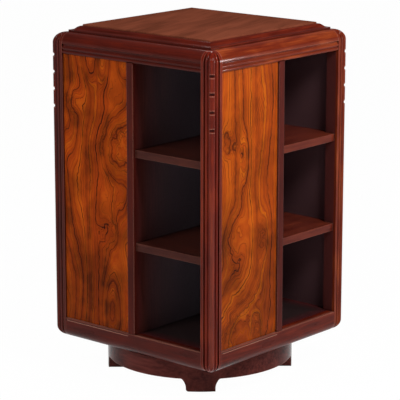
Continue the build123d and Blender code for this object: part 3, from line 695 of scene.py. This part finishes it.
class BOOKCASE_OT_frame(bpy.types.Operator):
    """Polish the posts, stiles, rails and mouldings, with the grain along each piece."""

    bl_idname = "bookcase.frame"
    bl_label = "Frame"

    def execute(self, context):
        s = context.scene.bookcase_mahogany
        red = (s.shade, s.body, s.light)
        dark = (s.shade, s.stile, s.body)
        warm = (s.body, s.warm, s.warm_light)
        # Corner post 1 has its own tones; post 2 a paler warm copy, painted light for the lit side; posts 3
        # and 4 a darker copy, painted shade for the shaded side. The last column is the share of painted edge
        # highlight.
        for name, posts, tones, highlight_share in (
            ("polished_mahogany_posts", (1,), (s.post_shade, s.post, s.post_light), 0.17),
            ("lit_mahogany_posts", (2,), warm, 0.04),
            ("shaded_mahogany_posts", (3, 4), dark, 0.17),
        ):
            depth_tone = (s.inner, *POST_TONE_DEPTHS)
            wood = polished_mahogany(name, Z, tones, gloss=0.1, highlight_share=highlight_share, depth_tone=depth_tone, bead=True)
            dress(on_faces("corner_post", posts), wood)
        # Stiles and rails get no painted edge highlight where their ends butt against other pieces
        end = BUTT_END / MM_PER_M
        low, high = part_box("partition_long")
        stile = polished_mahogany(
            "polished_mahogany_stiles",
            Z,
            dark,
            gloss=0.07,
            highlight_share=0.7,
            depth_tone=(s.inner, *STILE_TONE_DEPTHS),
            highlit=(low.z + end, high.z - end),
        )
        dress(on_faces("centre_stile"), stile)
        post_low, post_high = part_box("corner_post_1")
        rail_end = HALF_WIDTH - (post_high.x - post_low.x) - end
        # Mouldings and bottom rails on faces 1 and 3 take the darker copy, painted shade for the shaded side
        for axis, faces, tones, gloss in ((X, (1, 3), dark, 0.09), (Y, (2, 4), red, 0.08)):
            letter = "xyz"[axis]
            moulding = polished_mahogany(f"polished_mahogany_{letter}", axis, tones, gloss=0.04, highlight_share=0.0)
            dress(on_faces("top_moulding", faces), moulding)
            # Bottom rails: a strong painted highlight on all edges and on the upper front arris
            rail = polished_mahogany(
                f"edge_highlit_mahogany_{letter}",
                axis,
                tones,
                gloss=gloss,
                highlight_share=1.0,
                rough=0.24,
                highlit=(-rail_end, rail_end),
                arris=low.z,
            )
            dress(on_faces("bottom_rail", faces), rail)
        # Top rails: a darker copy on faces 1 and 3, painted shade, and a paler warm copy on faces 2 and 4,
        # painted light
        dress(on_faces("top_rail", (1, 3)), polished_mahogany("shaded_mahogany_x", X, dark, highlight_share=0.06))
        dress(on_faces("top_rail", (2, 4)), polished_mahogany("lit_mahogany_y", Y, warm))
        return {"FINISHED"}


class BOOKCASE_OT_panels(bpy.types.Operator):
    """Veneer the four panels, each from another part of the log."""

    bl_idname = "bookcase.panels"
    bl_label = "Panels"

    def execute(self, context):
        for face, leaf, knots in zip(FACES, LEAVES, KNOTS):
            veneer = figured_veneer(f"figured_veneer_{face}", face - 1, *leaf, knots)
            dress([f"burl_panel_{face}"], veneer)
        return {"FINISHED"}


class BOOKCASE_OT_inside(bpy.types.Operator):
    """Finish the partitions, the shelves and the boards that close the case; partitions and boards change
    colour with depth, painted for the light inside.
    """

    bl_idname = "bookcase.inside"
    bl_label = "Inside"

    def execute(self, context):
        s = context.scene.bookcase_mahogany
        # Partitions turn to a pale grey deeper inside, painted for the dim light there, and boards darker,
        # painted shade
        depth_tone = (s.partition, *PARTITION_TONE_DEPTHS)
        upright = polished_mahogany(
            "depth_toned_mahogany_upright", Z, PARTITION_TONES, gloss=0.15, highlight_share=0.0, depth_tone=depth_tone
        )
        dress(["partition_long", "partition_half_1", "partition_half_2"], upright)
        depth_tone = (s.board, *BOARD_TONE_DEPTHS)
        flat = polished_mahogany("depth_toned_mahogany_boards", X, BOARD_TONES, gloss=0.06, highlight_share=0.0, depth_tone=depth_tone)
        dress(["top_board", "bottom_board"], flat)
        pale = (SHELF_STREAKS[0], s.shelf, SHELF_STREAKS[1])
        # Shelves on faces 1 and 3 take a darker copy, painted shade for the shaded side; shelf edges get a
        # painted highlight
        for axis, faces, tones in ((X, (1, 3), SHADED_SHELF_TONES), (Y, (2, 4), pale)):
            wood = polished_mahogany(f"shelf_mahogany_{'xyz'[axis]}", axis, tones, gloss=0.07, highlight_share=0.35)
            dress(on_faces("shelf_lower", faces) + on_faces("shelf_upper", faces), wood)
        return {"FINISHED"}


class BOOKCASE_OT_top(bpy.types.Operator):
    """Veneer the flat top."""

    bl_idname = "bookcase.top"
    bl_label = "Top"

    def execute(self, context):
        dress(["top_panel"], top_veneer("rubbed_top_veneer"))
        return {"FINISHED"}


class BOOKCASE_OT_base(bpy.types.Operator):
    """Polish the drum and its feet."""

    bl_idname = "bookcase.base"
    bl_label = "Base"

    def execute(self, context):
        s = context.scene.bookcase_mahogany
        tones = (DRUM_STREAKS[0], s.base, DRUM_STREAKS[1])
        dress(["base_drum"], polished_mahogany("drum_mahogany", X, tones, gloss=0.045))
        return {"FINISHED"}


class BOOKCASE_OT_turntable(bpy.types.Operator):
    """Finish the hidden boards, ball race, spindle and screws."""

    bl_idname = "bookcase.turntable"
    bl_label = "Turntable"

    def execute(self, context):
        dress(["turntable_board", "base_board"], sanded_board("sanded_board"))
        steel = turned_metal("machined_steel", STEEL_TONES)
        dress(["lower_race", "upper_race", "ball_cage", "bearing_balls", "spindle"], steel)
        dress(["retaining_washer", "retaining_nut"], steel)
        screws = ("base_board", "lower_race", "upper_race", "spindle", "turntable")
        dress([f"{place}_screws" for place in screws], steel)
        dress(["spindle_bush"], turned_metal("bearing_bronze", BRONZE_TONES))
        return {"FINISHED"}


def lamp(name, power, size, place, target):
    """Square soft lamp at a place, turned to a target."""
    data = bpy.data.lights.new(name, "AREA")
    data.energy, data.size = power, size
    made = bpy.data.objects.new(name, data)
    made.location = place
    made.rotation_euler = (target - place).to_track_quat("-Z", "Y").to_euler()
    bpy.context.scene.collection.objects.link(made)


def towards(azimuth, elevation):
    """Unit direction from the middle to a place at a turn from the -Y face and a height angle."""
    level = math.cos(elevation)
    return Vector((math.sin(azimuth) * level, -math.cos(azimuth) * level, math.sin(elevation)))


class BOOKCASE_OT_stage(bpy.types.Operator):
    """Lay the pale floor, hang the lamps and set the camera."""

    bl_idname = "bookcase.stage"
    bl_label = "Stage"

    def execute(self, context):
        s = context.scene.bookcase_stage
        self.lay_floor(s)
        self.light_world(context)
        # Power, size, turn and height angle in degrees, and distance
        for name, power, size, azimuth, elevation, reach in (
            ("key_lamp", s.key_power, 0.5, 80, 45, 2.0),
            ("fill_lamp", s.fill_power, 0.7, -5, 38, 2.3),
            ("rim_lamp", s.rim_power, 0.09, 122, 18, 1.22),
            ("back_lamp", s.back_power, 0.5, 222, 55, 2.0),
        ):
            place = TARGET + reach * towards(math.radians(azimuth), math.radians(elevation))
            lamp(name, power, size, place, TARGET)
        self.set_camera(context, s)
        context.scene.view_settings.view_transform = "Standard"
        return {"FINISHED"}

    def lay_floor(self, s):
        """Flat square grid at the feet's level: x and y are the two parameters, z is zero."""
        side = np.linspace(-FLOOR_HALF, FLOOR_HALF, FLOOR_LINES)
        x, y = np.meshgrid(side, side)
        points = np.stack([x.ravel(), y.ravel(), np.zeros(x.size)], -1)
        n = FLOOR_LINES
        first = (np.arange(n - 1)[:, None] * n + np.arange(n - 1)).ravel()
        corners = np.stack([first, first + 1, first + n + 1, first + n], -1)
        mesh = bpy.data.meshes.new("floor")
        mesh.from_pydata(points.tolist(), [], corners.tolist())
        floor = bpy.data.objects.new("floor", mesh)
        bpy.context.scene.collection.objects.link(floor)
        # White paper: dull, and seen by the camera and in reflections as lit evenly, with a soft shadow
        material, tree = start("white_paper")
        path = add(tree, "LightPath").outputs
        seen = path["Is Camera Ray"]
        for ray in ("Is Glossy Ray", "Is Transmission Ray"):
            seen = add(tree, "Math", (seen, path[ray]), operation="MAXIMUM").outputs[0]
        share = add(tree, "Math", (seen, FLOOR_GLOW), operation="MULTIPLY").outputs[0]
        dull = add(tree, "BsdfDiffuse", {"Color": s.floor}).outputs[0]
        glow = add(tree, "Emission", {"Color": (1, 1, 1, 1), "Strength": 1.0}).outputs[0]
        mixed = add(tree, "MixShader", (share, dull, glow)).outputs[0]
        add(tree, "OutputMaterial", {"Surface": mixed})
        mesh.materials.append(material)

    def light_world(self, context):
        """Surroundings: pale at the horizon, dim above it."""
        world = bpy.data.worlds.new("studio")
        world.use_nodes = True
        tree = world.node_tree
        tree.nodes.clear()
        direction = add(tree, "TexCoord").outputs["Generated"]
        rise = add(tree, "SeparateXYZ", (direction,)).outputs[Z]
        ramp = add(tree, "ValToRGB", (rise,), HORIZON).outputs[0]
        sky = add(tree, "Background", {"Color": ramp, "Strength": 1.0}).outputs[0]
        add(tree, "OutputWorld", {"Surface": sky})
        context.scene.world = world

    def set_camera(self, context, s):
        """Camera at its turn, height angle and distance, looking at the target."""
        back = towards(s.azimuth, s.elevation)
        level = Vector((math.cos(s.azimuth), math.sin(s.azimuth), 0))
        right = math.cos(s.roll) * level + math.sin(s.roll) * back.cross(level)
        data = bpy.data.cameras.new("camera")
        data.lens, data.shift_y, data.clip_end = s.lens, s.shift, FAR_CLIP
        camera = bpy.data.objects.new("camera", data)
        axes = Matrix((right, back.cross(right), back)).transposed().to_4x4()
        camera.matrix_world = Matrix.Translation(TARGET + s.distance * back) @ axes
        context.scene.collection.objects.link(camera)
        context.scene.camera = camera


class BOOKCASE_PT_panel(bpy.types.Panel):
    """Lists the settings and the steps in order."""

    bl_idname = "BOOKCASE_PT_panel"
    bl_label = "Revolving bookcase"
    bl_space_type = "VIEW_3D"
    bl_region_type = "UI"
    bl_category = "Bookcase"

    def draw(self, context):
        for group in GROUPS:
            settings = getattr(context.scene, group)
            for name in settings.__annotations__:
                self.layout.prop(settings, name)
        for step in STEPS:
            self.layout.operator(step.bl_idname)


GROUPS = {
    "bookcase_mahogany": MahoganySettings,
    "bookcase_veneer": VeneerSettings,
    "bookcase_stage": StageSettings,
}
STEPS = (
    BOOKCASE_OT_frame,
    BOOKCASE_OT_panels,
    BOOKCASE_OT_inside,
    BOOKCASE_OT_top,
    BOOKCASE_OT_base,
    BOOKCASE_OT_turntable,
    BOOKCASE_OT_stage,
)
CLASSES = (*GROUPS.values(), *STEPS, BOOKCASE_PT_panel)


def register():
    """Register the classes and hang the settings on the scene."""
    for cls in CLASSES:
        bpy.utils.register_class(cls)
    for name, cls in GROUPS.items():
        setattr(bpy.types.Scene, name, bpy.props.PointerProperty(type=cls))


def unregister():
    """Take the settings and classes away again."""
    for name in GROUPS:
        delattr(bpy.types.Scene, name)
    for cls in reversed(CLASSES):
        bpy.utils.unregister_class(cls)


def main():
    """Run every step in order."""
    register()
    bpy.ops.bookcase.frame()
    bpy.ops.bookcase.panels()
    bpy.ops.bookcase.inside()
    bpy.ops.bookcase.top()
    bpy.ops.bookcase.base()
    bpy.ops.bookcase.turntable()
    bpy.ops.bookcase.stage()


if __name__ == "__main__":
    main()
